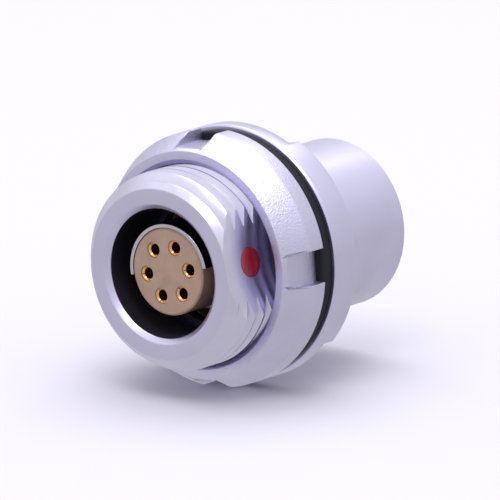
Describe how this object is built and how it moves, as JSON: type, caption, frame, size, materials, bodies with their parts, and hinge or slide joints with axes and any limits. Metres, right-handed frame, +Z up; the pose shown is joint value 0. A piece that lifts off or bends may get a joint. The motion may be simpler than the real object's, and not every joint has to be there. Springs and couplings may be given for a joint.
{
  "type": "push pull circular connector receptacle",
  "caption": "Panel-mounted round metal socket connector with a threaded nose, slotted ring nut, flange, rubber panel seal, red index mark and gold socket contacts in a tan insulator.",
  "frame": {"origin": "on the connector's axis, in the plane of the flange face that the panel seal lies on", "axes": "-Y along the axis towards the mating face, +Y towards the wires, +Z up; the index mark points 12 degrees above +X"},
  "size_m": [0.018, 0.0201, 0.018],
  "materials": {
    "satin_shell": "satin",
    "satin_nut": "satin",
    "black_rubber": "satin",
    "red_mark": "gloss",
    "tan_insulator": "satin",
    "sleeve_metal": "polished",
    "crown_bronze": "satin",
    "gold_contact": "polished"
  },
  "bodies": {
    "receptacle": {"outer_shell": "satin_shell", "panel_seal": "black_rubber", "index_dot": "red_mark", "front_insulator": "tan_insulator", "rear_insulator": "tan_insulator", "upper_half_sleeve": "sleeve_metal", "lower_half_sleeve": "sleeve_metal", "earthing_crown": "crown_bronze", "retaining_ring": "satin_shell", "contact_1": "gold_contact", "contact_2": "gold_contact", "contact_3": "gold_contact", "contact_4": "gold_contact", "contact_5": "gold_contact", "contact_6": "gold_contact"},
    "nut": {"slotted_nut": "satin_nut"}
  },
  "joints": [
    {"name": "nut_turn", "type": "hinge", "parent": "receptacle", "child": "nut", "pos_m": [0, 0, 0], "axis": [0, -1, 0], "range_deg": [0, 2190]}
  ]
}
